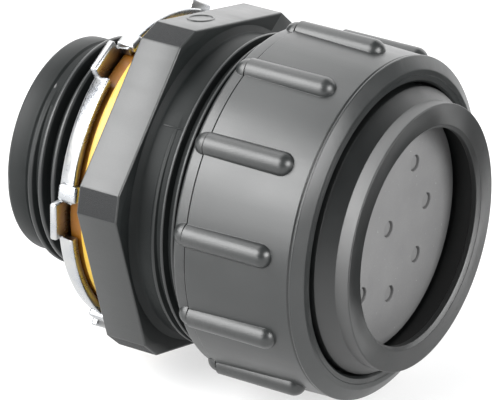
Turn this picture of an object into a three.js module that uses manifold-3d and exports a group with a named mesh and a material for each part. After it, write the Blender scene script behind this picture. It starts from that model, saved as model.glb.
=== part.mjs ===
// Non-metallic liquid-tight compression fitting with a multi-hole grommet, in millimetres.
// The axis is +X: the threaded hub points to -X and the cord end to +X. +Z is up.
// Lengths are measured from the rear shoulder of the hex flange, the face that seats on an
// enclosure wall, and the finished group is moved so that its origin is the middle of its overall box.
// Angles round the axis start at +Z and turn by the right-hand rule about +X, so 90 degrees is -Y.
import * as THREE from 'three';
import * as BufferGeometryUtils from 'three/addons/utils/BufferGeometryUtils.js';
import Module from 'manifold-3d';

const wasm = await Module();
wasm.setup();

// ---- driving dimensions ----
const SEGMENTS = 32;
const EDGE = 0.4;
const CLEARANCE = 0.3;

const HUB_END = -19.0;
const HUB_LEAD = 3.4;
const HUB_LEAD_R = 15.5;
const HUB_CHAMFER = 0.7;
const HUB_ROOT_R = 15.3;
const THROAT_R = 13.2;
const HUB_THREAD = {
  pitch: 2.209,
  rootR: HUB_ROOT_R,
  crestR: 16.7,
  rootWidth: 1.75,
  crestWidth: 0.5,
  tipGap: 0.5,
  from: -15.2,
  to: -1.1,
};

const HEX_LENGTH = 6.5;
const HEX_APOTHEM = 23.15;
const HEX_CORNER = 25.6;
const HEX_ROLL = -12.6;

const NECK_R = 21.6;
const NECK_FILLET = 0.7;
const BODY_FRONT = 24.0;
const CHAMBER_R = 19.4;
const CHAMBER_FLOOR = 8.0;
const BODY_THREAD = {
  pitch: 1.75,
  rootR: NECK_R,
  crestR: 22.45,
  rootWidth: 1.2,
  crestWidth: 0.35,
  tipGap: 0.4,
  from: 9.6,
  to: 22.6,
};

const GASKET_LENGTH = 4.05;
const GASKET_R = 21.6;
const GASKET_REAR_R = 21.2;
const GASKET_LIP = 1.95;
const GASKET_BORE_R = 17.15;
const SEAT_GAP = 0.15;

const LOCKNUT_BACK = -5.6;
const LOCKNUT_PLATE = 1.1;
const LOCKNUT_RIM_FRONT = -2.7;
const LOCKNUT_RIM_R = 22.9;
const LOCKNUT_BORE_R = 17.15;
const LOCKNUT_COLLAR = 0.9;
const LOCKNUT_COLLAR_R = 18.6;
const LUG_COUNT = 6;
const LUG_ANGLE = 29.0;
const LUG_R = 23.9;
const LUG_WIDTH = 5.4;
const TOOTH_OFFSET = -10.5;
const TOOTH_FRONT = -1.9;
const TOOTH_R = 23.3;
const TOOTH_WIDTH = 2.4;

const NUT_BACK = 14.8;
const NUT_FRONT = 34.6;
const NUT_STEP = 17.0;
const NUT_STEP_DEPTH = 0.3;
const NUT_SHOULDER = 1.7;
const NUT_BEAD = 2.3;
const NUT_BEAD_R = 24.25;
const NUT_WALL_BACK_R = 24.6;
const NUT_WALL_FRONT_R = 24.1;
const NUT_OPENING_R = 20.6;
const NUT_BORE_R = 22.75;
const NUT_LIP = 3.0;
const NUT_THREAD_TURNS = 3;
const RIB_COUNT = 12;
const RIB_ANGLE = 20.1;
const RIB_R = 1.7;
const RIB_TOP_R = 25.7;
const RIB_BACK = 14.85;
const RIB_FRONT = 30.4;

const RING_FRONT = 39.3;
const RING_BAND = 2.1;
const RING_R = 18.8;
const RING_CONE_BACK = 34.8;
const RING_NECK_R = 20.2;
const RING_SLEEVE_R = 18.9;
const RING_MOUTH_R = 15.3;
const RING_BORE_R = 17.6;
const RING_CHAMFER = 0.5;
const RING_FLANGE_R = 22.2;
const RING_FLANGE_BACK = 27.8;
const RING_FLANGE_FRONT = 30.4;
const RING_NOSE = 21.7;
const WASHER_LENGTH = 0.7;

const GROMMET_FACE = 34.0;
const GROMMET_BACK = 14.0;
const GROMMET_R = 17.3;
const GROMMET_FLANGE_R = 19.0;
const GROMMET_FLANGE_FRONT = 21.4;
const GROMMET_CONE = 2.4;
const HOLE_COUNT = 8;
const HOLE_CIRCLE_R = 9.95;
const HOLE_R = 1.18;
const HOLE_ANGLE = 2.3;
const PLUG_R = 1.05;
const PLUG_RECESS = 0.35;
const PLUG_GAP = 0.2;

const BACK_WASHER_LENGTH = 1.2;

// ---- materials ----
const surface = (color, roughness, metalness = 0) => new THREE.MeshStandardMaterial({ color, roughness, metalness });
const blackNylon = surface(0x26282a, 0.45);
const glossNylon = surface(0x18191b, 0.28);
const zincSteel = surface(0xd4d6d8, 0.32, 0.9);
const amberGasket = surface(0xd8a83a, 0.5);
const greyRubber = surface(0x868686, 0.85);
const washerPlastic = surface(0xd9d6cc, 0.5);

// ---- shape helpers ----

// A closed geometry as a boolean solid, turned the right way out.
function solid(geometry) {
  const bare = geometry.clone();
  bare.deleteAttribute('normal');
  bare.deleteAttribute('uv');
  const merged = BufferGeometryUtils.mergeVertices(bare, 1e-5);
  const vertProperties = new Float32Array(merged.attributes.position.array);
  const triVerts = new Uint32Array(merged.index.array);
  return new wasm.Manifold(new wasm.Mesh({ numProp: 3, vertProperties, triVerts }));
}

function toGeometry(shape) {
  const result = shape.getMesh();
  const geometry = new THREE.BufferGeometry();
  geometry.setAttribute('position', new THREE.BufferAttribute(new Float32Array(result.vertProperties), 3));
  geometry.setIndex(new THREE.BufferAttribute(new Uint32Array(result.triVerts), 1));
  geometry.computeVertexNormals();
  return geometry;
}

// Turns an outline of [x, radius] points about the X axis. The outline runs with the outer wall
// towards +X, and closes on itself or starts and ends on the axis.
function revolve(outline, segments = SEGMENTS) {
  const points = outline.map(([x, r]) => new THREE.Vector2(r, x));
  const onAxis = outline[0][1] === 0 && outline[outline.length - 1][1] === 0;
  if (!onAxis) {
    points.push(points[0].clone());
  }
  const geometry = new THREE.LatheGeometry(points, segments);
  geometry.rotateZ(-Math.PI / 2);
  return solid(geometry);
}

function rod(fromX, toX, radius, segments = SEGMENTS) {
  return revolve([[fromX, 0], [fromX, radius], [toX, radius], [toX, 0]], segments);
}

// Places a geometry made at the top of the circle (+Z) at an angle round the axis.
function atAngle(geometry, degrees) {
  return geometry.clone().rotateX(THREE.MathUtils.degToRad(degrees));
}

function box(fromX, toX, fromR, toR, width) {
  const geometry = new THREE.BoxGeometry(toX - fromX, width, toR - fromR);
  geometry.translate((fromX + toX) / 2, 0, (fromR + toR) / 2);
  return geometry;
}

// One right-hand thread ridge wound round the axis. Both ends sink into the wall over half a turn.
function ridge({ pitch, baseR, tipR, baseWidth, tipWidth, from, to, fade = SEGMENTS / 2 }) {
  const steps = Math.round(((to - from) / pitch) * SEGMENTS);
  const hiddenR = baseR + (tipR - baseR) * 0.15;
  const vertices = [];
  for (let i = 0; i <= steps; i += 1) {
    const angle = (i / SEGMENTS) * 2 * Math.PI;
    const x = from + (i / SEGMENTS) * pitch;
    const grown = Math.min(1, i / fade, (steps - i) / fade);
    const topR = hiddenR + (tipR - hiddenR) * grown;
    const section = [
      [x - baseWidth / 2, baseR], [x - tipWidth / 2, topR], [x + tipWidth / 2, topR], [x + baseWidth / 2, baseR],
    ];
    for (const [sx, r] of section) {
      vertices.push(sx, -r * Math.sin(angle), r * Math.cos(angle));
    }
  }
  const faces = [[0, 2, 1], [0, 3, 2]];
  for (let i = 0; i < steps; i += 1) {
    for (let side = 0; side < 4; side += 1) {
      const a = i * 4 + side;
      const b = i * 4 + ((side + 1) % 4);
      faces.push([a, b, b + 4], [a, b + 4, a + 4]);
    }
  }
  const last = steps * 4;
  faces.push([last, last + 1, last + 2], [last, last + 2, last + 3]);
  const outward = tipR > baseR;
  const geometry = new THREE.BufferGeometry();
  geometry.setAttribute('position', new THREE.BufferAttribute(new Float32Array(vertices), 3));
  geometry.setIndex(faces.flatMap(([a, b, c]) => (outward ? [a, c, b] : [a, b, c])));
  return solid(geometry);
}

function outerThread(thread) {
  const sink = 0.3;
  const slope = (thread.rootWidth - thread.crestWidth) / (thread.crestR - thread.rootR);
  return ridge({
    pitch: thread.pitch,
    baseR: thread.rootR - sink,
    tipR: thread.crestR,
    baseWidth: thread.rootWidth + slope * sink,
    tipWidth: thread.crestWidth,
    from: thread.from,
    to: thread.to,
  });
}

// The matching ridge inside a nut, half a pitch along from the outer one, with running clearance.
function innerThread(thread, boreR, from, turns, fade) {
  const firstTurn = Math.ceil((from - thread.from) / thread.pitch);
  const start = thread.from + (firstTurn + 0.5) * thread.pitch;
  return ridge({
    pitch: thread.pitch,
    baseR: boreR + 0.25,
    tipR: thread.rootR + thread.tipGap,
    baseWidth: thread.rootWidth * 0.72,
    tipWidth: thread.pitch - thread.rootWidth,
    from: start,
    to: start + turns * thread.pitch,
    fade,
  });
}

// ---- parts ----

function hexPrism() {
  const halfFace = (HEX_APOTHEM - HEX_CORNER * Math.cos(Math.PI / 6)) / Math.sin(Math.PI / 6);
  const cornerR = Math.hypot(HEX_CORNER, halfFace);
  const spread = Math.atan2(halfFace, HEX_CORNER);
  const shape = new THREE.Shape();
  for (let corner = 0; corner < 6; corner += 1) {
    for (const side of [-1, 1]) {
      const angle = THREE.MathUtils.degToRad(HEX_ROLL + 30 + 60 * corner) + side * spread;
      const point = [-cornerR * Math.cos(angle), -cornerR * Math.sin(angle)];
      if (corner === 0 && side === -1) {
        shape.moveTo(...point);
      } else {
        shape.lineTo(...point);
      }
    }
  }
  const geometry = new THREE.ExtrudeGeometry(shape, { depth: HEX_LENGTH, bevelEnabled: false });
  geometry.rotateY(Math.PI / 2);
  return solid(geometry);
}

function fittingBody() {
  const core = revolve([
    [HUB_END, 0],
    [HUB_END, HUB_LEAD_R - HUB_CHAMFER],
    [HUB_END + HUB_CHAMFER, HUB_LEAD_R],
    [HUB_END + HUB_LEAD, HUB_LEAD_R],
    [HUB_END + HUB_LEAD + EDGE, HUB_ROOT_R],
    [EDGE, HUB_ROOT_R],
    [HEX_LENGTH - EDGE, NECK_R + NECK_FILLET],
    [HEX_LENGTH, NECK_R + NECK_FILLET],
    [HEX_LENGTH + NECK_FILLET, NECK_R],
    [BODY_FRONT - EDGE, NECK_R],
    [BODY_FRONT, NECK_R - EDGE],
    [BODY_FRONT, 0],
  ]);
  const bore = revolve([
    [HUB_END - 1, 0],
    [HUB_END - 1, THROAT_R + 1 + EDGE],
    [HUB_END + EDGE, THROAT_R],
    [CHAMBER_FLOOR, THROAT_R],
    [CHAMBER_FLOOR, CHAMBER_R],
    [BODY_FRONT - EDGE, CHAMBER_R],
    [BODY_FRONT + 1, CHAMBER_R + 1 + EDGE],
    [BODY_FRONT + 1, 0],
  ]);
  return core.add(hexPrism()).add(outerThread(HUB_THREAD)).add(outerThread(BODY_THREAD)).subtract(bore);
}

// A rear part that nests in the locknut's rim and a wider lip that seals against the hex flange.
function sealingGasket() {
  const front = -SEAT_GAP;
  const back = front - GASKET_LENGTH;
  const lip = front - GASKET_LIP;
  return revolve([
    [back, GASKET_BORE_R],
    [back, GASKET_REAR_R - EDGE],
    [back + EDGE, GASKET_REAR_R],
    [lip, GASKET_REAR_R],
    [lip, GASKET_R],
    [front - EDGE, GASKET_R],
    [front, GASKET_R - EDGE],
    [front, GASKET_BORE_R],
  ]);
}

// A stamped plate with a threaded collar. Its rim is bent forward between six flat lugs, and each
// stretch of rim ends in a tooth that reaches further forward.
function locknut() {
  const plateFront = LOCKNUT_BACK + LOCKNUT_PLATE;
  const collarBack = LOCKNUT_BACK - LOCKNUT_COLLAR;
  const rimInnerR = GASKET_REAR_R + CLEARANCE;
  const bend = 0.7;
  let shape = revolve([
    [collarBack, LOCKNUT_BORE_R],
    [collarBack, LOCKNUT_COLLAR_R],
    [LOCKNUT_BACK, LOCKNUT_COLLAR_R],
    [LOCKNUT_BACK, LOCKNUT_RIM_R - 2 * bend],
    [LOCKNUT_BACK + bend, LOCKNUT_RIM_R - bend],
    [LOCKNUT_RIM_FRONT, LOCKNUT_RIM_R],
    [LOCKNUT_RIM_FRONT, rimInnerR],
    [plateFront, rimInnerR],
    [plateFront, LOCKNUT_BORE_R],
  ]);
  const gap = box(plateFront, 0, GASKET_REAR_R - 1, LUG_R + 1, LUG_WIDTH);
  const lug = box(LOCKNUT_BACK, plateFront, GASKET_REAR_R - 1, LUG_R, LUG_WIDTH);
  const tooth = box(plateFront, TOOTH_FRONT, GASKET_R + CLEARANCE, TOOTH_R, TOOTH_WIDTH);
  for (let i = 0; i < LUG_COUNT; i += 1) {
    const angle = LUG_ANGLE + (i * 360) / LUG_COUNT;
    shape = shape.subtract(solid(atAngle(gap, angle)))
      .add(solid(atAngle(lug, angle)))
      .add(solid(atAngle(tooth, angle + TOOTH_OFFSET)));
  }
  const threaded = rod(collarBack, plateFront, LOCKNUT_BORE_R + 1);
  const thread = innerThread(HUB_THREAD, LOCKNUT_BORE_R, collarBack - 2, 2.5, 2).intersect(threaded);
  return shape.add(thread);
}

// All the nut's ribs, lowered by a depth: round-ended bars lying along the wall.
function ribs(depth) {
  const rib = new THREE.CapsuleGeometry(RIB_R, RIB_FRONT - RIB_BACK - 2 * RIB_R, 3, 12);
  rib.rotateZ(-Math.PI / 2);
  rib.translate((RIB_BACK + RIB_FRONT) / 2, 0, RIB_TOP_R - RIB_R - depth);
  let shape = solid(atAngle(rib, RIB_ANGLE));
  for (let i = 1; i < RIB_COUNT; i += 1) {
    shape = shape.add(solid(atAngle(rib, RIB_ANGLE + (i * 360) / RIB_COUNT)));
  }
  return shape;
}

function compressionNut() {
  const bandR = NUT_WALL_BACK_R - NUT_STEP_DEPTH;
  const shell = revolve([
    [NUT_BACK, 0],
    [NUT_BACK, bandR - EDGE],
    [NUT_BACK + EDGE, bandR],
    [NUT_STEP, bandR],
    [NUT_STEP, NUT_WALL_BACK_R],
    [NUT_FRONT - NUT_BEAD, NUT_WALL_FRONT_R],
    [NUT_FRONT - NUT_BEAD, NUT_BEAD_R],
    [NUT_FRONT - NUT_SHOULDER, NUT_BEAD_R],
    [NUT_FRONT - NUT_SHOULDER * 0.5, NUT_BEAD_R - NUT_SHOULDER * 0.13],
    [NUT_FRONT - NUT_SHOULDER * 0.13, NUT_BEAD_R - NUT_SHOULDER * 0.5],
    [NUT_FRONT, NUT_BEAD_R - NUT_SHOULDER],
    [NUT_FRONT, 0],
  ]);
  const bore = revolve([
    [NUT_BACK - 1, 0],
    [NUT_BACK - 1, NUT_BORE_R + 1 + EDGE],
    [NUT_BACK + EDGE, NUT_BORE_R],
    [NUT_FRONT - NUT_LIP, NUT_BORE_R],
    [NUT_FRONT - NUT_LIP, NUT_OPENING_R],
    [NUT_FRONT - EDGE, NUT_OPENING_R],
    [NUT_FRONT + 1, NUT_OPENING_R + 1 + EDGE],
    [NUT_FRONT + 1, 0],
  ]);
  const aheadOfStep = rod(NUT_STEP, NUT_FRONT, RIB_TOP_R + 1);
  const thread = innerThread(BODY_THREAD, NUT_BORE_R, NUT_BACK + 0.2, NUT_THREAD_TURNS, SEGMENTS / 4);
  return shell.add(ribs(0).intersect(aheadOfStep)).add(ribs(NUT_STEP_DEPTH)).subtract(bore).add(thread);
}

function glandRing() {
  const mouthBack = RING_FRONT - 1.3;
  return revolve([
    [RING_NOSE, RING_BORE_R + EDGE],
    [RING_NOSE, RING_SLEEVE_R - EDGE],
    [RING_NOSE + EDGE, RING_SLEEVE_R],
    [RING_FLANGE_BACK, RING_SLEEVE_R],
    [RING_FLANGE_BACK, RING_FLANGE_R],
    [RING_FLANGE_FRONT, RING_FLANGE_R],
    [RING_FLANGE_FRONT, RING_NECK_R],
    [RING_CONE_BACK, RING_NECK_R],
    [RING_FRONT - RING_BAND, RING_R],
    [RING_FRONT - 0.2, RING_R],
    [RING_FRONT, RING_R - 0.2],
    [RING_FRONT, RING_MOUTH_R + RING_CHAMFER],
    [RING_FRONT - RING_CHAMFER, RING_MOUTH_R],
    [mouthBack, RING_MOUTH_R],
    [mouthBack - RING_CHAMFER, RING_BORE_R],
    [RING_NOSE + EDGE, RING_BORE_R],
  ]);
}

function slipWasher() {
  const front = NUT_FRONT - NUT_LIP - SEAT_GAP;
  return revolve([
    [front - WASHER_LENGTH, RING_NECK_R + CLEARANCE],
    [front - WASHER_LENGTH, RING_FLANGE_R],
    [front, RING_FLANGE_R],
    [front, RING_NECK_R + CLEARANCE],
  ]);
}

function holeCentres() {
  const centres = [[0, 0]];
  for (let i = 0; i < HOLE_COUNT; i += 1) {
    const angle = THREE.MathUtils.degToRad(HOLE_ANGLE + (i * 360) / HOLE_COUNT);
    centres.push([-HOLE_CIRCLE_R * Math.sin(angle), HOLE_CIRCLE_R * Math.cos(angle)]);
  }
  return centres;
}

function grommet() {
  let shape = revolve([
    [GROMMET_BACK, 0],
    [GROMMET_BACK, GROMMET_FLANGE_R - GROMMET_CONE],
    [GROMMET_BACK + GROMMET_CONE, GROMMET_FLANGE_R],
    [GROMMET_FLANGE_FRONT, GROMMET_FLANGE_R],
    [GROMMET_FLANGE_FRONT, GROMMET_R],
    [GROMMET_FACE, GROMMET_R],
    [GROMMET_FACE, 0],
  ]);
  for (const [y, z] of holeCentres()) {
    shape = shape.subtract(rod(GROMMET_BACK - 1, GROMMET_FACE + 1, HOLE_R, 16).translate([0, y, z]));
  }
  return shape;
}

function holePlug() {
  const back = GROMMET_BACK + PLUG_GAP;
  const front = GROMMET_FACE - PLUG_RECESS;
  return revolve([
    [back, 0],
    [back, PLUG_R - EDGE],
    [back + EDGE, PLUG_R],
    [front, PLUG_R],
    [front, 0],
  ], 12);
}

function backWasher() {
  const back = CHAMBER_FLOOR + SEAT_GAP;
  const front = back + BACK_WASHER_LENGTH;
  return revolve([
    [back, THROAT_R + CLEARANCE],
    [back, CHAMBER_R - CLEARANCE],
    [front, CHAMBER_R - CLEARANCE],
    [front, THROAT_R + CLEARANCE],
  ]);
}

// ---- assembly ----
const group = new THREE.Group();
group.position.x = -(HUB_END + RING_FRONT) / 2;

function place(name, shape, material, y = 0, z = 0) {
  const mesh = new THREE.Mesh(toGeometry(shape), material.clone());
  mesh.name = name;
  mesh.position.set(0, y, z);
  group.add(mesh);
}

place('fitting_body', fittingBody(), blackNylon);
place('sealing_gasket', sealingGasket(), amberGasket);
place('locknut', locknut(), zincSteel);
place('compression_nut', compressionNut(), blackNylon);
place('gland_ring', glandRing(), glossNylon);
place('slip_washer', slipWasher(), washerPlastic);
place('grommet', grommet(), greyRubber);
place('grommet_back_washer', backWasher(), washerPlastic);
holeCentres().forEach(([y, z], i) => {
  place(`hole_plug_${i}`, holePlug(), greyRubber, y, z);
});

export default group;
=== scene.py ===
"""Looks for the liquid-tight compression fitting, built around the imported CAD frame.

Outlines are lists of (x, radius) points in millimetres, and a third value rounds a point by that fillet
radius. x is measured along the fitting's axis from the rear shoulder of the hex flange, towards the cord
end. Angles round the axis start at +Z and turn by the right-hand rule about +X, so 90 degrees faces -Y,
the side the camera stands on.
"""
import math

import bmesh
import bpy
from mathutils import Matrix, Vector


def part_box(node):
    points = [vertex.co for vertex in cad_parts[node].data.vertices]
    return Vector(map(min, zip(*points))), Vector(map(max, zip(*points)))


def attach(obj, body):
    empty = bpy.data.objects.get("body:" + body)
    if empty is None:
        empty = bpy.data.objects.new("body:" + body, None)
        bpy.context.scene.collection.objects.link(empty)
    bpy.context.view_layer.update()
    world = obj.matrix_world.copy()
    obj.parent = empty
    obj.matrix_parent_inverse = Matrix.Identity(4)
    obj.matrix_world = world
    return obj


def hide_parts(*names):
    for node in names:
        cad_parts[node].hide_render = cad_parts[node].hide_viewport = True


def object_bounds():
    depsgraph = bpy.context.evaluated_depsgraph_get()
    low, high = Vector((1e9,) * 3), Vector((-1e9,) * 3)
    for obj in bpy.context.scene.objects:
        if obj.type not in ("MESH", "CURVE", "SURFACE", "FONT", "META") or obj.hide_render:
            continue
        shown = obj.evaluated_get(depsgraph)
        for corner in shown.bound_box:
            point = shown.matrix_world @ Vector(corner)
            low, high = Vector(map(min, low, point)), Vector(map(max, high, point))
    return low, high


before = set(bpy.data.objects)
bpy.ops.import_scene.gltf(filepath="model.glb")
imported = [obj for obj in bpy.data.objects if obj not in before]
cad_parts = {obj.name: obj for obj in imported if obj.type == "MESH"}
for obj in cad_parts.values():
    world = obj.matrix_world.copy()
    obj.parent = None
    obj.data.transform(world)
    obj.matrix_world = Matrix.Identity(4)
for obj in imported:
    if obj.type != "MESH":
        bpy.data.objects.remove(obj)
cad_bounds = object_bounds()

MM = 0.001
FULL_TURN = 2 * math.pi
ROUND = 192
SMALL_ROUND = 40
ARC_STEPS = 5
SHARP_ANGLE = 32.0

# ---- the frame's own measures, in millimetres ----


def span(node):
    low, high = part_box(node)
    return low.x / MM, high.x / MM


def reach(node):
    """Largest distance of a turned node from the axis."""
    low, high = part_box(node)
    return max(-low.y, high.y, -low.z, high.z) / MM


HUB_LENGTH = 19.0
DATUM = span("fitting_body")[0] + HUB_LENGTH


def along(node):
    """Where a node starts and ends along the axis, measured from the hex shoulder."""
    low, high = span(node)
    return low - DATUM, high - DATUM


hub_end, body_front = along("fitting_body")
gasket_back, gasket_front = along("sealing_gasket")
locknut_back, lug_front = along("locknut")
nut_back, nut_front = along("compression_nut")
ring_nose, ring_front = along("gland_ring")
grommet_back, grommet_face = along("grommet")
plug_back, plug_face = along("hole_plug_0")
slip_back, slip_front = along("slip_washer")
seat_back, seat_front = along("grommet_back_washer")

# ---- driving sizes, in millimetres and degrees ----
THROAT_R = 13.2
HUB_LEAD_R = 15.5
HUB_ROOT_R = 15.3
HEX_LENGTH = 6.5
HEX_APOTHEM = 23.15
HEX_CORNER = 25.6
HEX_ROLL = -12.6
HEX_EDGE = 0.22
NECK_R = 21.6
CHAMBER_R = 19.4
CHAMBER_FLOOR = 8.0
SEAM_ANGLE = 46.0
SEAM_HEIGHT = 0.08
SEAM_WIDTH = 0.2

# the raised ring on the top flat: behind the flat's middle, to its side, its own size
MARK_BACK = 0.7
MARK_SIDE = -3.8
MARK_R = 1.45
MARK_WIRE_R = 0.14
MARK_STRETCH = 1.7

HUB_THREAD = dict(pitch=2.209, root=HUB_ROOT_R, crest=16.7, foot=1.75, top=0.5, start=-15.2, stop=-1.1)
BODY_THREAD = dict(pitch=1.75, root=NECK_R, crest=22.45, foot=1.2, top=0.35, start=9.6, stop=22.6)

GASKET_REAR_R = 21.2
GASKET_LIP = 1.95
GASKET_BORE_R = 17.15

LOCKNUT_PLATE = 1.1
LOCKNUT_RIM_FRONT = -2.7
LOCKNUT_RIM_R = 22.9
LOCKNUT_BORE_R = 17.15
LOCKNUT_COLLAR = 0.9
LOCKNUT_COLLAR_R = 18.6
LUG_COUNT = 6
LUG_ANGLE = 29.0
LUG_R = 23.9
LUG_WIDTH = 5.4
TOOTH_OFFSET = -10.5
TOOTH_R = 23.3
TOOTH_WIDTH = 2.4

NUT_STEP = 17.0
NUT_STEP_DEPTH = 0.3
NUT_GROOVE = 0.22
NUT_GROOVE_R = 23.9
NUT_WALL_BACK_R = 24.6
NUT_WALL_FRONT_R = 24.1
NUT_BORE_R = 22.75
NUT_OPENING_R = 20.6
NUT_BEAD = 33.1
NUT_LIP = 3.0
RIB_COUNT = 12
RIB_ANGLE = 20.1
RIB_R = 1.7
RIB_TOP_R = 25.7
RIB_BACK = 14.85
RIB_FRONT = 30.4

# past every radius of the fitting, for the shapes that cut from outside
BEYOND_R = 30.0

RING_BAND = 2.1
RING_R = 18.8
RING_NECK_R = 20.2
RING_CONE_BACK = 34.8
RING_SLEEVE_R = 18.9
RING_MOUTH_R = 15.3
RING_BORE_R = 17.6
RING_FLANGE = (27.8, 30.4)

GROMMET_R = 17.3
GROMMET_FLANGE_FRONT = 21.4
HOLE_COUNT = 8
HOLE_CIRCLE_R = 9.95
HOLE_R = 1.15
HOLE_ANGLE = 2.3
PLUG_R = 1.05

# ---- mesh helpers ----


def ring_point(x, radius, angle, centre=(0.0, 0.0)):
    """A point in metres round the axis, or round a line beside it through the centre's y and z."""
    y = centre[0] - radius * math.sin(angle)
    z = centre[1] + radius * math.cos(angle)
    return Vector((x + DATUM, y, z)) * MM


def link_new(name, data):
    """A new object in the scene that shows a mesh, a light or a camera."""
    item = bpy.data.objects.new(name, data)
    bpy.context.scene.collection.objects.link(item)
    return item


def make_object(name, points, faces):
    mesh = bpy.data.meshes.new(name)
    mesh.from_pydata(points, [], faces)
    mesh.validate()
    mesh.update()
    return link_new(name, mesh)


def rounded(outline):
    """Replaces each corner that states a third value, its fillet radius, by an arc."""
    count = len(outline)
    result = []
    for i, corner in enumerate(outline):
        here = Vector(corner[:2])
        if len(corner) < 3:
            result.append(tuple(here))
            continue
        before = Vector(outline[i - 1][:2]) - here
        after = Vector(outline[(i + 1) % count][:2]) - here
        half = before.angle(after) / 2
        cut = min(corner[2] / math.tan(half), before.length * 0.49, after.length * 0.49)
        radius = cut * math.tan(half)
        middle = (before.normalized() + after.normalized()).normalized()
        centre = here + middle * (radius / math.sin(half))
        first = (here + before.normalized() * cut - centre).normalized()
        last = (here + after.normalized() * cut - centre).normalized()
        for step in range(ARC_STEPS + 1):
            result.append(tuple(centre + first.slerp(last, step / ARC_STEPS) * radius))
    return result


def revolve(name, outline, segments=ROUND, centre=(0.0, 0.0)):
    """Turns an outline about the axis. It closes on itself, or starts and ends on the axis."""
    outline = rounded(outline)
    points, rows = [], []
    for x, radius in outline:
        if radius < 1e-6:
            rows.append([len(points)] * segments)
            points.append(ring_point(x, 0, 0, centre))
            continue
        rows.append(list(range(len(points), len(points) + segments)))
        points += [ring_point(x, radius, FULL_TURN * j / segments, centre) for j in range(segments)]
    faces = []
    for i, row in enumerate(rows):
        nxt = rows[(i + 1) % len(rows)]
        if row[0] == row[-1] and nxt[0] == nxt[-1]:
            continue
        for j in range(segments):
            k = (j + 1) % segments
            corners = [row[j], row[k], nxt[k], nxt[j]]
            faces.append([c for n, c in enumerate(corners) if c not in corners[:n]])
    return make_object(name, points, faces)


def swept_faces(size, steps):
    """Faces of a section of some points carried along steps, with a cap at each end."""
    faces = [list(range(size)), [steps * size + k for k in reversed(range(size))]]
    for i in range(steps):
        for k in range(size):
            a, b = i * size + k, i * size + (k + 1) % size
            faces.append([a, a + size, b + size, b])
    return faces


def ridge_section(thread, sink):
    """Straight flanks, a rounded crest and a foot sunk into the wall, as (along, height) points."""
    height = thread["crest"] - thread["root"]
    slope = (thread["foot"] - thread["top"]) / 2 / height
    foot = thread["foot"] / 2 + slope * sink
    shoulder = 0.72
    crest_share = 0.2
    crest_points = 5
    left = (-thread["top"] / 2 - slope * height * (1 - shoulder), height * shoulder)
    section = [(-foot, -sink), left]
    for step in range(crest_points):
        turn = math.pi * (0.85 - 0.7 * step / (crest_points - 1))
        rise = 1 - crest_share + crest_share * math.sin(turn)
        section.append((thread["top"] * 0.75 * math.cos(turn), height * rise))
    return section + [(-left[0], left[1]), (foot, -sink)]


def ridge(name, thread):
    """One right-hand thread ridge. Both ends sink into the wall over half a turn."""
    foot_sink, end_sink = 0.3, 0.12
    section = ridge_section(thread, foot_sink)
    steps = round((thread["stop"] - thread["start"]) / thread["pitch"] * ROUND)
    fade = ROUND / 2
    points = []
    for i in range(steps + 1):
        x = thread["start"] + thread["pitch"] * i / ROUND
        grown = min(1.0, i / fade, (steps - i) / fade)
        grown = grown * grown * (3 - 2 * grown)
        for dx, height in section:
            lift = height if height < 0 else height * grown - end_sink * (1 - grown)
            points.append(ring_point(x + dx, thread["root"] + lift, FULL_TURN * i / ROUND))
    return make_object(name, points, swept_faces(len(section), steps))


def inner_ridge(name, thread, bore_r, start, turns, tip_gap):
    """The ridge inside a nut, half a pitch along from the outer one."""
    wall_r = bore_r + 0.25
    tip_r = thread["root"] + tip_gap
    tip_edge = 0.05
    pitch = thread["pitch"]
    first = math.ceil((start - thread["start"]) / pitch)
    begin = thread["start"] + (first + 0.5) * pitch
    foot, top = thread["foot"] * 0.36, (pitch - thread["foot"]) / 2
    section = [
        (-foot, wall_r), (foot, wall_r), (top, tip_r + tip_edge), (top * 0.4, tip_r),
        (-top * 0.4, tip_r), (-top, tip_r + tip_edge),
    ]
    steps = round(turns * ROUND)
    fade = ROUND / 4
    points = []
    for i in range(steps + 1):
        grown = max(0.1, min(1.0, i / fade, (steps - i) / fade))
        for dx, radius in section:
            shown = wall_r - (wall_r - radius) * grown
            points.append(ring_point(begin + pitch * i / ROUND + dx, shown, FULL_TURN * i / ROUND))
    return make_object(name, points, swept_faces(len(section), steps))


def bevel_edges(shape, offset):
    bmesh.ops.bevel(shape, geom=shape.edges[:], offset=offset, segments=3, profile=0.5, affect="EDGES")


def block(name, from_x, to_x, from_r, to_r, width, angle, bevel=0.0):
    """A box standing off the axis at an angle, between two lengths and two radii."""
    shape = bmesh.new()
    bmesh.ops.create_cube(shape, size=1.0)
    size = Matrix.Diagonal((to_x - from_x, width, to_r - from_r, 1))
    place = Matrix.Translation(((from_x + to_x) / 2, 0, (from_r + to_r) / 2))
    turn = Matrix.Rotation(math.radians(angle), 4, "X")
    bmesh.ops.transform(shape, matrix=size, verts=shape.verts)
    if bevel:
        bevel_edges(shape, bevel)
    bmesh.ops.transform(shape, matrix=turn @ place, verts=shape.verts)
    move = Matrix.Translation((DATUM * MM, 0, 0)) @ Matrix.Scale(MM, 4)
    bmesh.ops.transform(shape, matrix=move, verts=shape.verts)
    mesh = bpy.data.meshes.new(name)
    shape.to_mesh(mesh)
    shape.free()
    return link_new(name, mesh)


def joined(pieces):
    """Several separate closed meshes as one object."""
    shape = bmesh.new()
    for piece in pieces:
        shape.from_mesh(piece.data)
    for piece in pieces[1:]:
        bpy.data.objects.remove(piece)
    shape.to_mesh(pieces[0].data)
    shape.free()
    return pieces[0]


def combine(piece, other, operation):
    """Boolean of two closed meshes. The second one is used up."""
    modifier = piece.modifiers.new(operation, "BOOLEAN")
    modifier.operation = operation
    modifier.solver = "MANIFOLD"
    modifier.object = other
    bpy.context.view_layer.update()
    solved = piece.evaluated_get(bpy.context.evaluated_depsgraph_get())
    result = bpy.data.meshes.new_from_object(solved)
    piece.modifiers.clear()
    piece.data = result
    bpy.data.objects.remove(other)
    return piece


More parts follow.
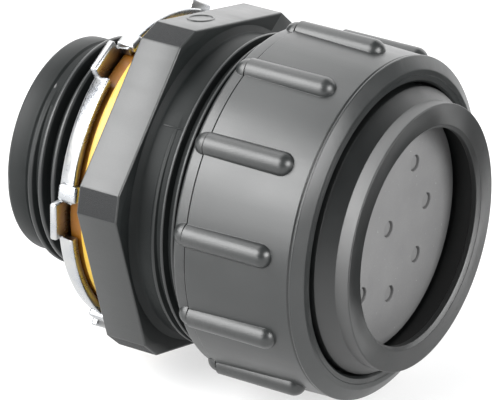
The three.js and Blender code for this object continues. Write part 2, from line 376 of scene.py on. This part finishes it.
def crisp(piece):
    """Smooth shading, with sharp edges where the faces turn more than the sharp angle."""
    hair = 1e-7
    shape = bmesh.new()
    shape.from_mesh(piece.data)
    bmesh.ops.remove_doubles(shape, verts=shape.verts, dist=hair)
    bmesh.ops.dissolve_degenerate(shape, edges=shape.edges, dist=hair)
    for face in shape.faces:
        face.smooth = True
    for edge in shape.edges:
        edge.smooth = len(edge.link_faces) == 2 and edge.calc_face_angle(0) < math.radians(SHARP_ANGLE)
    shape.to_mesh(piece.data)
    shape.free()
    return piece


# ---- material helpers ----


class Nodes:
    """Short names for building one material's node tree."""

    def __init__(self, name):
        self.material = bpy.data.materials.new(name)
        self.material.use_nodes = True
        self.tree = self.material.node_tree
        self.shader = self.tree.nodes["Principled BSDF"]
        coordinates = self.tree.nodes.new("ShaderNodeTexCoord")
        scale = self.tree.nodes.new("ShaderNodeVectorMath")
        scale.operation = "SCALE"
        scale.inputs["Scale"].default_value = 1 / MM
        self.link(coordinates.outputs["Object"], scale.inputs[0])
        self.place = scale.outputs[0]

    def link(self, source, target):
        self.tree.links.new(source, target)

    def feed(self, name, source):
        """Links a value to one of the shader's inputs."""
        self.link(source, self.shader.inputs[name])

    def set(self, **values):
        for key, value in values.items():
            self.shader.inputs[key.replace("_", " ")].default_value = value

    def noise(self, per_mm, detail=3.0, stretch=(1, 1, 1), roughness=0.55):
        mapping = self.tree.nodes.new("ShaderNodeMapping")
        mapping.inputs["Scale"].default_value = stretch
        self.link(self.place, mapping.inputs["Vector"])
        node = self.tree.nodes.new("ShaderNodeTexNoise")
        node.inputs["Scale"].default_value = per_mm
        node.inputs["Detail"].default_value = detail
        node.inputs["Roughness"].default_value = roughness
        self.link(mapping.outputs[0], node.inputs["Vector"])
        return node.outputs["Fac"]

    def spread(self, source, low, high, from_low=0.3, from_high=0.7):
        node = self.tree.nodes.new("ShaderNodeMapRange")
        node.inputs["From Min"].default_value = from_low
        node.inputs["From Max"].default_value = from_high
        node.inputs["To Min"].default_value = low
        node.inputs["To Max"].default_value = high
        self.link(source, node.inputs["Value"])
        return node.outputs["Result"]

    def math(self, operation, first, second):
        node = self.tree.nodes.new("ShaderNodeMath")
        node.operation = operation
        for socket, value in zip(node.inputs, (first, second)):
            if isinstance(value, (int, float)):
                socket.default_value = value
            else:
                self.link(value, socket)
        return node.outputs[0]

    def mix(self, factor, first, second):
        node = self.tree.nodes.new("ShaderNodeMix")
        node.data_type = "RGBA"
        if isinstance(factor, (int, float)):
            node.inputs["Factor"].default_value = factor
        else:
            self.link(factor, node.inputs["Factor"])
        for socket, value in ((node.inputs["A"], first), (node.inputs["B"], second)):
            if isinstance(value, tuple):
                socket.default_value = (*value, 1)
            else:
                self.link(value, socket)
        return node.outputs["Result"]

    def axis_distance(self):
        """x, and the distance from the axis, in millimetres."""
        split = self.tree.nodes.new("ShaderNodeSeparateXYZ")
        self.link(self.place, split.inputs[0])
        y2 = self.math("MULTIPLY", split.outputs["Y"], split.outputs["Y"])
        z2 = self.math("MULTIPLY", split.outputs["Z"], split.outputs["Z"])
        return split.outputs["X"], self.math("SQRT", self.math("ADD", y2, z2), 0.0)

    # a mask of convex edges, for rubbed wear that is partly a painted highlight
    def edge_wear_and_highlight(self, low=0.52, high=0.6):
        geometry = self.tree.nodes.new("ShaderNodeNewGeometry")
        return self.spread(geometry.outputs["Pointiness"], 0.0, 1.0, low, high)

    def bump(self, *layers, edge=0.0):
        """Chains (height, depth in mm) layers into the shader's normal, over softened edges."""
        normal = None
        if edge:
            bevel = self.tree.nodes.new("ShaderNodeBevel")
            bevel.samples = 4
            bevel.inputs["Radius"].default_value = edge * MM
            normal = bevel.outputs[0]
        for height, depth in layers:
            node = self.tree.nodes.new("ShaderNodeBump")
            node.inputs["Strength"].default_value = 1.0
            node.inputs["Distance"].default_value = depth * MM
            self.link(height, node.inputs["Height"])
            if normal:
                self.link(normal, node.inputs["Normal"])
            normal = node.outputs[0]
        self.feed("Normal", normal)


NYLON_DARK = (0.009, 0.0105, 0.0105)
NYLON_PALE = (0.014, 0.0155, 0.0155)
# the pale edge colour: partly rubbed wear, partly a painted highlight
NYLON_WORN_AND_HIGHLIT_EDGE = (0.05, 0.05, 0.05)


def satin_nylon():
    """Moulded black nylon: mottled satin with orange peel, faint flow lines, and paler convex edges that are
    partly rubbed wear and partly a painted highlight.
    """
    n = Nodes("satin_nylon")
    base_roughness = 0.36
    mottle = n.noise(0.16, 4)
    grain = n.noise(3.2, 3)
    flow = n.noise(0.5, 3, (0.12, 1, 1))
    colour = n.mix(n.spread(mottle, 0, 1), NYLON_DARK, NYLON_PALE)
    # paler convex edges: partly rubbed wear, partly a painted highlight
    worn_and_highlit_edges = n.math("MULTIPLY", n.edge_wear_and_highlight(), n.spread(grain, 0.0, 0.6))
    n.feed("Base Color", n.mix(worn_and_highlit_edges, colour, NYLON_WORN_AND_HIGHLIT_EDGE))
    uneven = n.math("ADD", n.spread(mottle, -0.03, 0.04), n.spread(flow, -0.02, 0.02))
    n.feed("Roughness", n.math("ADD", uneven, base_roughness))
    n.set(Specular_IOR_Level=0.62)
    n.bump((grain, 0.006), (flow, 0.012), edge=0.12)
    return n.material


def shaded_nylon():
    """The nylon of the hub and neck: the satin nylon's colour with much less sheen, so these parts stay
    darker, and painted shade in the grooves, where ambient occlusion takes the sheen away.
    """
    n = Nodes("shaded_nylon")
    mottle = n.noise(0.2, 4)
    grain = n.noise(3.0, 3)
    # painted shade: ambient occlusion cuts the sheen down in the grooves
    hollow = n.tree.nodes.new("ShaderNodeAmbientOcclusion")
    hollow.samples = 8
    hollow.inputs["Distance"].default_value = 1.6 * MM
    open_air = n.spread(hollow.outputs["AO"], 0, 1, 0.45, 0.95)
    crest = n.math("MULTIPLY", n.edge_wear_and_highlight(0.51, 0.56), open_air)
    n.feed("Base Color", n.mix(n.spread(mottle, 0, 1), NYLON_DARK, NYLON_PALE))
    sheen_cut_by_painted_shade = n.spread(open_air, 0.02, 0.12, 0, 1)
    n.feed("Specular IOR Level", n.math("ADD", sheen_cut_by_painted_shade, n.math("MULTIPLY", crest, 0.8)))
    rough = n.spread(mottle, 0.46, 0.54)
    n.feed("Roughness", n.math("ADD", rough, n.math("MULTIPLY", crest, -0.2)))
    n.bump((grain, 0.006), edge=0.08)
    return n.material


def grained_nylon():
    """The same nylon with the fine spark texture of the hexagon's cut corners."""
    n = Nodes("grained_nylon")
    grit = n.noise(5.5, 4, roughness=0.7)
    n.feed("Base Color", n.mix(n.spread(grit, 0, 1), (0.008, 0.0085, 0.009), (0.02, 0.021, 0.022)))
    n.feed("Roughness", n.spread(grit, 0.52, 0.7))
    n.set(Specular_IOR_Level=0.25)
    n.bump((grit, 0.09), edge=0.12)
    return n.material


def turned_lines(n, x, radius):
    """Fine marks that run round the axis, on faces and on walls alike."""
    pair = n.tree.nodes.new("ShaderNodeCombineXYZ")
    n.link(x, pair.inputs["X"])
    n.link(radius, pair.inputs["Y"])
    lines = n.tree.nodes.new("ShaderNodeTexNoise")
    lines.noise_dimensions = "2D"
    lines.inputs["Scale"].default_value = 3.0
    n.link(pair.outputs[0], lines.inputs["Vector"])
    return lines.outputs["Fac"]


def around_axis(n):
    """The direction that runs round the axis at each point."""
    around = n.tree.nodes.new("ShaderNodeVectorMath")
    around.operation = "CROSS_PRODUCT"
    around.inputs[0].default_value = (1, 0, 0)
    n.link(n.place, around.inputs[1])
    return around.outputs[0]


def gloss_nylon():
    """Polished black plastic, turned: fine rings round the axis smear its highlights into fans.

    The first bump rises towards the axis and has a constant slope, so the flat front shades as a
    shallow cone while its shape stays flat.
    """
    n = Nodes("gloss_nylon")
    outward_tilt = 0.22
    cloud = n.noise(0.3, 3)
    x, radius = n.axis_distance()
    n.feed("Tangent", around_axis(n))
    marks = n.spread(n.noise(1.4, 5, (0.3, 1, 1)), 0, 1, 0.62, 0.7)
    n.feed("Base Color", n.mix(n.spread(cloud, 0, 1), (0.006, 0.0065, 0.0065), (0.009, 0.01, 0.01)))
    n.feed("Roughness", n.math("ADD", n.spread(cloud, 0.33, 0.38), n.math("MULTIPLY", marks, 0.06)))
    n.set(Specular_IOR_Level=0.75, Anisotropic=0.96)
    rise = n.math("MULTIPLY", radius, -1.0)
    n.bump((rise, outward_tilt), (turned_lines(n, x, radius), 0.003), edge=0.1)
    return n.material


def zinc_steel():
    """Bright zinc plate on stamped steel: fine scratches, a faint blue and straw tint, dull specks."""
    n = Nodes("zinc_steel")
    cloud = n.noise(0.25, 4)
    scratch = n.noise(2.6, 5, (1, 0.12, 1), 0.7)
    speck = n.spread(n.noise(1.9, 4), 0, 1, 0.66, 0.74)
    tint = n.mix(n.spread(cloud, 0, 1), (0.36, 0.375, 0.40), (0.46, 0.46, 0.45))
    n.feed("Base Color", n.mix(n.math("MULTIPLY", speck, 0.5), tint, (0.2, 0.21, 0.22)))
    n.feed("Roughness", n.math("ADD", n.spread(cloud, 0.24, 0.34), n.spread(scratch, -0.04, 0.06)))
    n.set(Metallic=1.0)
    n.bump((scratch, 0.01), (cloud, 0.05), edge=0.22)
    return n.material


def amber_gasket():
    """Translucent amber elastomer: bright yellow at the hex side, brown where the locknut shades it."""
    n = Nodes("amber_gasket")
    brown = (0.22, 0.085, 0.006)
    x, _radius = n.axis_distance()
    lip = DATUM + gasket_front - GASKET_LIP
    depth = n.spread(x, 0, 1, lip - 0.1, lip + 0.15)
    cloud = n.noise(0.5, 3)
    grain = n.noise(4.0, 3)
    yellow = n.mix(n.spread(cloud, 0, 1), (0.55, 0.34, 0.035), (0.62, 0.41, 0.055))
    n.feed("Base Color", n.mix(depth, brown, yellow))
    n.feed("Roughness", n.spread(grain, 0.32, 0.44))
    n.set(Subsurface_Weight=0.25, Subsurface_Radius=(0.8 * MM, 0.4 * MM, 0.1 * MM), Subsurface_Scale=1.0)
    n.bump((grain, 0.01), edge=0.15)
    return n.material


def grey_rubber(name, shade):
    """Matte moulded rubber with a fine tooth, soft clouding and a few pale specks of dust."""
    n = Nodes(name)
    dark = (shade * 0.94, shade * 0.94, shade * 0.945)
    pale = (shade * 1.06, shade * 1.06, shade * 1.06)
    cloud = n.noise(0.18, 4)
    tooth = n.noise(4.5, 4, roughness=0.65)
    dust = n.spread(n.noise(2.7, 3), 0, 1, 0.7, 0.76)
    base = n.mix(n.spread(cloud, 0, 1), dark, pale)
    n.feed("Base Color", n.mix(n.math("MULTIPLY", dust, 0.35), base, (0.5, 0.5, 0.5)))
    n.feed("Roughness", n.spread(tooth, 0.72, 0.86))
    n.set(Specular_IOR_Level=0.3)
    n.bump((tooth, 0.012), (cloud, 0.08), edge=0.1)
    return n.material


def acetal(name, low, high):
    """Acetal, a little waxy, with turned marks, between two shades."""
    n = Nodes(name)
    cloud = n.noise(0.4, 3)
    grain = n.noise(3.0, 3, (4, 1, 1))
    n.feed("Base Color", n.mix(n.spread(cloud, 0, 1), low, high))
    n.feed("Roughness", n.spread(grain, 0.34, 0.46))
    n.bump((grain, 0.01), edge=0.1)
    return n.material


# ---- pieces ----


def at_angle(degrees, radius):
    """The y and z, in millimetres, of a point round the axis."""
    angle = math.radians(degrees)
    return -radius * math.sin(angle), radius * math.cos(angle)


def hex_corners():
    """The twelve corners of the hexagon with cut corners, as (angle, radius)."""
    half_face = (HEX_APOTHEM - HEX_CORNER * math.cos(math.pi / 6)) / math.sin(math.pi / 6)
    corner_r = math.hypot(HEX_CORNER, half_face)
    spread = math.atan2(half_face, HEX_CORNER)
    corners = []
    for k in range(6):
        middle = math.radians(HEX_ROLL + 30 + 60 * k)
        corners += [(middle - spread, corner_r), (middle + spread, corner_r)]
    return corners


def hex_flange():
    corners = hex_corners()
    points = [ring_point(x, radius, angle) for x in (0, HEX_LENGTH) for angle, radius in corners]
    count = len(corners)
    faces = [list(reversed(range(count))), [count + k for k in range(count)]]
    for k in range(count):
        m = (k + 1) % count
        faces.append([k, m, count + m, count + k])
    piece = make_object("hex", points, faces)
    shape = bmesh.new()
    shape.from_mesh(piece.data)
    bmesh.ops.recalc_face_normals(shape, faces=shape.faces)
    bevel_edges(shape, HEX_EDGE * MM)
    shape.to_mesh(piece.data)
    shape.free()
    return piece


def mould_ring():
    """A small plain raised ring on a hex flat, the mark of an ejector sleeve."""
    bpy.ops.mesh.primitive_torus_add(
        major_radius=MARK_R * MM, minor_radius=MARK_WIRE_R * MM, major_segments=64, minor_segments=12)
    ring = bpy.context.object
    middle = DATUM + HEX_LENGTH / 2 - MARK_BACK
    stretch = Matrix.Diagonal((1.0, MARK_STRETCH, 1.0, 1.0))
    lift = Matrix.Translation(Vector((middle, MARK_SIDE, HEX_APOTHEM)) * MM)
    turn = Matrix.Rotation(math.radians(HEX_ROLL), 4, "X")
    ring.data.transform(turn @ lift @ stretch)
    return ring


def parting_seams():
    """The two fine ridges that the mould's halves leave along the neck."""
    start, end = HEX_LENGTH + 1.2, body_front - 1
    foot, top = NECK_R - 1, NECK_R + SEAM_HEIGHT
    return joined([
        block("seam", start, end, foot, top, SEAM_WIDTH, SEAM_ANGLE + half_turn, 0.05)
        for half_turn in (0, 180)
    ])


def fitting_body():
    body = revolve("fitting_body_shell", [
        (hub_end, 0), (hub_end, HUB_LEAD_R, 0.7), (hub_end + 3.3, HUB_LEAD_R, 0.2),
        (hub_end + 3.7, HUB_ROOT_R, 0.2), (0.5, HUB_ROOT_R), (HEX_LENGTH - 0.5, NECK_R + 1.2),
        (HEX_LENGTH, NECK_R + 0.9), (HEX_LENGTH + 0.8, NECK_R, 0.5), (body_front, NECK_R, 0.4),
        (body_front, 0),
    ])
    combine(body, hex_flange(), "UNION")
    combine(body, ridge("hub_ridge", HUB_THREAD), "UNION")
    combine(body, ridge("body_ridge", BODY_THREAD), "UNION")
    combine(body, parting_seams(), "UNION")
    combine(body, mould_ring(), "UNION")
    bore = revolve("bore", [
        (hub_end - 1, 0), (hub_end - 1, THROAT_R + 1.3), (hub_end + 0.5, THROAT_R, 0.5),
        (CHAMBER_FLOOR, THROAT_R), (CHAMBER_FLOOR, CHAMBER_R, 0.5), (body_front - 0.5, CHAMBER_R, 0.3),
        (body_front + 1, CHAMBER_R + 1.3), (body_front + 1, 0),
    ])
    combine(body, bore, "DIFFERENCE")
    return crisp(body)


def sealing_gasket():
    lip = gasket_front - GASKET_LIP
    outer = reach("sealing_gasket")
    return crisp(revolve("sealing_gasket_ring", [
        (gasket_back, GASKET_BORE_R, 0.3), (gasket_back, GASKET_REAR_R, 0.4),
        (lip - 0.05, GASKET_REAR_R, 0.1), (lip + 0.1, outer, 0.15),
        (gasket_front, outer, 0.4), (gasket_front, GASKET_BORE_R, 0.3),
    ]))


def locknut():
    """A stamped plate with a threaded collar, flat lugs, and a rim bent forward that ends in teeth."""
    plate_back = locknut_back + LOCKNUT_COLLAR
    plate_front = plate_back + LOCKNUT_PLATE
    rim_inner = GASKET_REAR_R + 0.3
    lug_foot = GASKET_REAR_R - 1
    nut = revolve("locknut_stamping", [
        (locknut_back, LOCKNUT_BORE_R, 0.2), (locknut_back, LOCKNUT_COLLAR_R, 0.3),
        (plate_back, LOCKNUT_COLLAR_R, 0.3), (plate_back, LOCKNUT_RIM_R - 0.7, 1.0),
        (LOCKNUT_RIM_FRONT, LOCKNUT_RIM_R, 0.25), (LOCKNUT_RIM_FRONT, rim_inner, 0.2),
        (plate_front, rim_inner, 0.4), (plate_front, LOCKNUT_BORE_R, 0.2),
    ])
    gaps, lugs, teeth = [], [], []
    for i in range(LUG_COUNT):
        angle = LUG_ANGLE + i * 360 / LUG_COUNT
        gaps.append(block("gap", plate_front, 0, lug_foot, LUG_R + 1, LUG_WIDTH, angle))
        lugs.append(block("lug", plate_back, plate_front, lug_foot, LUG_R, LUG_WIDTH, angle, 0.3))
        teeth.append(block(
            "tooth", plate_front - 0.4, lug_front, rim_inner + 0.45, TOOTH_R, TOOTH_WIDTH,
            angle + TOOTH_OFFSET, 0.4))
    combine(nut, joined(gaps), "DIFFERENCE")
    combine(nut, joined(lugs), "UNION")
    combine(nut, joined(teeth), "UNION")
    thread = inner_ridge("locknut_ridge", HUB_THREAD, LOCKNUT_BORE_R, locknut_back - 2, 2.5, 0.5)
    keep_r = LOCKNUT_BORE_R + 1
    keep = revolve("keep", [
        (locknut_back, 0), (locknut_back, keep_r), (plate_front, keep_r), (plate_front, 0),
    ])
    combine(thread, keep, "INTERSECT")
    combine(nut, thread, "UNION")
    return crisp(nut)


def ribs(from_x, to_x, sunk):
    """The round-ended bars along the nut's wall, sunk below the full rib height."""
    end_steps = 8
    rise = [math.pi / 2 * step / end_steps for step in range(end_steps + 1)]
    outline = [(from_x, 0)]
    outline += [(from_x + RIB_R * (1 - math.cos(turn)), RIB_R * math.sin(turn)) for turn in rise[1:]]
    outline += [(to_x - RIB_R * (1 - math.sin(turn)), RIB_R * math.cos(turn)) for turn in rise[:-1]]
    outline.append((to_x, 0))
    bars = []
    for k in range(RIB_COUNT):
        centre = at_angle(RIB_ANGLE + k * 360 / RIB_COUNT, RIB_TOP_R - RIB_R - sunk)
        bars.append(revolve("rib", outline, SMALL_ROUND, centre))
    return joined(bars)


def nut_front_shell():
    """The nut from its step to its front: wall, fine bead, chamfered shoulder and front face."""
    bead_r = NUT_WALL_FRONT_R + 0.1
    face_r = NUT_OPENING_R + 1.0
    shell = revolve("nut_front_shell", [
        (NUT_STEP, 0), (NUT_STEP, NUT_WALL_BACK_R, 0.15), (NUT_BEAD - 0.2, NUT_WALL_FRONT_R, 0.15),
        (NUT_BEAD, NUT_WALL_FRONT_R - 0.2, 0.08), (NUT_BEAD + 0.2, bead_r, 0.15),
        (nut_front - 1.05, bead_r, 0.7), (nut_front, NUT_WALL_FRONT_R - 1.7, 0.5),
        (nut_front, face_r + 0.1, 0.05), (nut_front - 0.12, face_r), (nut_front - 0.12, 0),
    ])
    bars = ribs(RIB_BACK, RIB_FRONT, 0)
    keep = [(NUT_STEP, 0), (NUT_STEP, BEYOND_R), (nut_front + 1, BEYOND_R), (nut_front + 1, 0)]
    combine(bars, revolve("keep", keep), "INTERSECT")
    return combine(shell, bars, "UNION")


def nut_rear_band():
    """The lower band behind the step, with the ribs' rounded rear ends."""
    band_r = NUT_WALL_BACK_R - NUT_STEP_DEPTH
    band_front = NUT_STEP + 0.5
    band = revolve("nut_rear_band", [
        (nut_back, 0), (nut_back, band_r, 0.6), (band_front, band_r), (band_front, 0),
    ])
    return combine(band, ribs(RIB_BACK, NUT_STEP + 6, NUT_STEP_DEPTH), "UNION")


def compression_nut():
    nut = nut_front_shell()
    combine(nut, nut_rear_band(), "UNION")
    bore = revolve("nut_bore", [
        (nut_back - 1, 0), (nut_back - 1, NUT_BORE_R + 1.4), (nut_back + 0.4, NUT_BORE_R, 0.3),
        (nut_front - NUT_LIP, NUT_BORE_R, 0.3), (nut_front - NUT_LIP, NUT_OPENING_R),
        (nut_front - 0.45, NUT_OPENING_R, 0.15), (nut_front + 0.55, NUT_OPENING_R + 1.0),
        (nut_front + 0.55, 0),
    ])
    combine(nut, bore, "DIFFERENCE")
    groove_back = NUT_STEP - NUT_GROOVE
    groove = revolve("step_groove", [
        (groove_back, NUT_GROOVE_R), (groove_back, BEYOND_R), (NUT_STEP, BEYOND_R), (NUT_STEP, NUT_GROOVE_R),
    ])
    combine(nut, groove, "DIFFERENCE")
    combine(nut, inner_ridge("nut_ridge", BODY_THREAD, NUT_BORE_R, nut_back + 0.2, 3, 0.4), "UNION")
    nut.name = "compression_nut_shell"
    return crisp(nut)


def gland_ring():
    back, front = RING_FLANGE
    outer = reach("gland_ring")
    return crisp(revolve("gland_ring_turned", [
        (ring_nose, RING_BORE_R + 0.4, 0.2), (ring_nose, RING_SLEEVE_R, 0.4), (back, RING_SLEEVE_R, 0.3),
        (back, outer, 0.3), (front, outer, 0.3), (front, RING_NECK_R, 0.2),
        (RING_CONE_BACK, RING_NECK_R, 0.6), (ring_front - RING_BAND, RING_R, 0.12),
        (ring_front, RING_R, 0.18), (ring_front, RING_MOUTH_R + 0.5, 0.12),
        (ring_front - 0.5, RING_MOUTH_R, 0.2), (ring_front - 1.3, RING_MOUTH_R, 0.2),
        (ring_front - 1.7, RING_BORE_R, 0.3), (ring_nose + 0.4, RING_BORE_R, 0.2),
    ]))


def washer(name, back, front, inner, outer):
    edge = 0.15
    return crisp(revolve(name, [
        (back, inner, edge), (back, outer, edge), (front, outer, edge), (front, inner, edge),
    ]))


def hole_centres():
    centres = [(0.0, 0.0)]
    for i in range(HOLE_COUNT):
        centres.append(at_angle(HOLE_ANGLE + i * 360 / HOLE_COUNT, HOLE_CIRCLE_R))
    return centres


def hole_drill(centre):
    """The shape of one hole, with a soft flare at its mouth."""
    flare = 0.38
    start, mouth = grommet_back - 1, grommet_face + 0.3
    return revolve("drill", [
        (start, 0), (start, HOLE_R), (mouth - flare, HOLE_R, 0.1), (mouth, HOLE_R + flare), (mouth, 0),
    ], SMALL_ROUND, centre)


def grommet():
    flange_r = reach("grommet")
    rear_cone = 2.4
    pad = revolve("grommet_block", [
        (grommet_back, 0), (grommet_back, flange_r - rear_cone, 0.5),
        (grommet_back + rear_cone, flange_r, 0.8), (GROMMET_FLANGE_FRONT, flange_r, 0.4),
        (GROMMET_FLANGE_FRONT, GROMMET_R, 0.3), (grommet_face, GROMMET_R, 0.35), (grommet_face, 0),
    ])
    combine(pad, joined([hole_drill(centre) for centre in hole_centres()]), "DIFFERENCE")
    return crisp(pad)


def hole_plug(index, centre):
    return crisp(revolve(f"hole_plug_pin_{index}", [
        (plug_back, 0), (plug_back, PLUG_R, 0.4), (plug_face - 0.05, PLUG_R, 0.1),
        (plug_face, PLUG_R * 0.8, 0.2), (plug_face, 0),
    ], SMALL_ROUND, centre))


# ---- building and dressing ----


def dress(piece, body, node, slot, *materials):
    piece.data.materials.clear()
    for material in materials:
        piece.data.materials.append(material)
    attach(piece, body)
    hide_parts(node)
    return piece


def finish_body(piece):
    """Gives the hexagon's cut corners the second material, and the hub and neck the third."""
    for face in piece.data.polygons:
        centre = face.center / MM
        x = centre.x - DATUM
        radial = math.hypot(centre.y, centre.z)
        facing = math.degrees(math.atan2(-face.normal.y, face.normal.z)) - HEX_ROLL
        off_corner = abs(facing % 60 - 30)
        on_hub = x < -0.05
        on_neck = x > HEX_LENGTH - 0.3 and radial < NECK_R + 1
        on_hex_side = 0.2 < x < HEX_LENGTH - 0.2 and abs(face.normal.x) < 0.2
        if on_hub or on_neck:
            face.material_index = 2
        elif on_hex_side and radial > HEX_CORNER - 0.1 and off_corner < 8:
            face.material_index = 1


satin = satin_nylon()
grained = grained_nylon()
shaded = shaded_nylon()
gloss = gloss_nylon()
zinc = zinc_steel()
amber = amber_gasket()
natural_acetal = acetal("natural_acetal", (0.66, 0.63, 0.55), (0.74, 0.71, 0.63))
dark_acetal = acetal("dark_acetal", (0.012, 0.012, 0.013), (0.02, 0.02, 0.021))
rubber = grey_rubber("grommet_rubber", 0.135)
plug_rubber = grey_rubber("plug_rubber", 0.122)

finish_body(dress(fitting_body(), "fitting_body", "fitting_body", "black_nylon", satin, grained, shaded))
dress(sealing_gasket(), "sealing_gasket", "sealing_gasket", "amber_gasket", amber)
dress(locknut(), "locknut", "locknut", "zinc_steel", zinc)
dress(compression_nut(), "compression_nut", "compression_nut", "black_nylon", satin)
dress(gland_ring(), "gland_ring", "gland_ring", "gloss_nylon", gloss)
dress(washer("slip_washer_ring", slip_back, slip_front, RING_NECK_R + 0.3, reach("slip_washer")),
      "gland_ring", "slip_washer", "washer_plastic", dark_acetal)
dress(washer("back_washer_ring", seat_back, seat_front, THROAT_R + 0.3, reach("grommet_back_washer")),
      "fitting_body", "grommet_back_washer", "washer_plastic", natural_acetal)
dress(grommet(), "grommet", "grommet", "grey_rubber", rubber)
for number, hole in enumerate(hole_centres()):
    dress(hole_plug(number, hole), f"hole_plug_{number}", f"hole_plug_{number}", "plug_rubber", plug_rubber)

# ---- floor, light and camera ----

CAMERA_AZIMUTH = 33.1
CAMERA_ELEVATION = 24.96
CAMERA_LENS = 330.6
CAMERA_DISTANCE = 622.3
AIM_LEFT = 23.3
AIM_UP = 5.2

FLOOR_HALF = 3.0
FLOOR_GAP = 0.0003
CARD_NEAR = 0.045
CARD_FAR = 0.25
CARD_GAP = 0.0001
WORLD_COLOUR = (0.95, 0.97, 1.0, 1)
WORLD_STRENGTH = 0.14
LIGHT_DISTANCE = 0.9

# name, direction from the fitting, width and height in metres, power in watts
SOFTBOXES = [
    ("key_front_left", (-0.50, -0.62, 0.62), 0.9, 0.6, 18),
    ("top_fill", (-0.50, 0.10, 0.86), 0.9, 0.45, 4.5),
    ("back_horizon", (-0.28, 0.88, 0.38), 1.5, 0.8, 9.5),
    ("front_low", (-0.42, -0.88, 0.15), 0.9, 0.22, 4.2),
    ("front_right", (0.90, -0.10, 0.40), 0.6, 0.45, 12),
]


def sheet(name, corners, gap):
    """A flat sheet lying a gap below the fitting's lowest point."""
    low, _high = cad_bounds
    return make_object(name, [(x, y, low.z - gap) for x, y in corners], [[0, 1, 2, 3]])


def floor():
    half = FLOOR_HALF
    plane = sheet("floor", [(-half, -half), (half, -half), (half, half), (-half, half)], FLOOR_GAP)
    n = Nodes("floor_paper")
    n.feed("Base Color", n.mix(n.spread(n.noise(0.05, 3), 0, 1), (0.36, 0.36, 0.36), (0.40, 0.40, 0.40)))
    n.set(Roughness=0.9, Emission_Color=(1, 1, 1, 1), Emission_Strength=0.6, Specular_IOR_Level=0.2)
    plane.data.materials.append(n.material)


def dark_card():
    """A card beside the fitting that only its reflections see, so that the faces at the front stay dark."""
    near, far = CARD_NEAR, CARD_FAR
    card = sheet("dark_card", [(near, 0), (far, 0), (far, far), (near, far)], CARD_GAP)
    n = Nodes("card_black")
    n.feed("Base Color", n.mix(n.spread(n.noise(0.4, 3), 0, 1), (0.02, 0.02, 0.02), (0.03, 0.03, 0.03)))
    n.set(Roughness=0.9, Specular_IOR_Level=0.1)
    card.data.materials.append(n.material)
    card.visible_camera = card.visible_diffuse = card.visible_shadow = False


def softbox(name, direction, width, height, power):
    """A large rectangle of light standing off the fitting in a direction, facing it."""
    light = bpy.data.lights.new(name, "AREA")
    light.shape = "RECTANGLE"
    light.size = width
    light.size_y = height
    light.energy = power
    lamp = link_new(name, light)
    toward = Vector(direction).normalized()
    lamp.location = toward * LIGHT_DISTANCE
    lamp.rotation_mode = "QUATERNION"
    lamp.rotation_quaternion = toward.to_track_quat("Z", "Y")


def studio():
    world = bpy.data.worlds.new("studio")
    world.use_nodes = True
    background = world.node_tree.nodes["Background"]
    background.inputs["Color"].default_value = WORLD_COLOUR
    background.inputs["Strength"].default_value = WORLD_STRENGTH
    bpy.context.scene.world = world
    for box in SOFTBOXES:
        softbox(*box)
    dark_card()


def camera():
    """Looks from the photo's angle, with the gland ring's front centre to the right of the middle."""
    azimuth, elevation = math.radians(CAMERA_AZIMUTH), math.radians(CAMERA_ELEVATION)
    level = math.cos(elevation)
    right = Vector((math.cos(azimuth), math.sin(azimuth), 0))
    back = Vector((math.sin(azimuth) * level, -math.cos(azimuth) * level, math.sin(elevation)))
    up = back.cross(right)
    ring_centre = Vector((ring_front + DATUM, 0, 0))
    aim = (ring_centre - right * AIM_LEFT + up * AIM_UP) * MM
    data = bpy.data.cameras.new("camera")
    data.sensor_width = 36
    data.lens = CAMERA_LENS
    data.clip_start = 0.01
    data.clip_end = 50
    eye = link_new("camera", data)
    eye.location = aim + back * CAMERA_DISTANCE * MM
    eye.rotation_mode = "QUATERNION"
    eye.rotation_quaternion = back.to_track_quat("Z", "Y")
    bpy.context.scene.camera = eye


floor()
studio()
camera()
bpy.context.scene.view_settings.view_transform = "Standard"
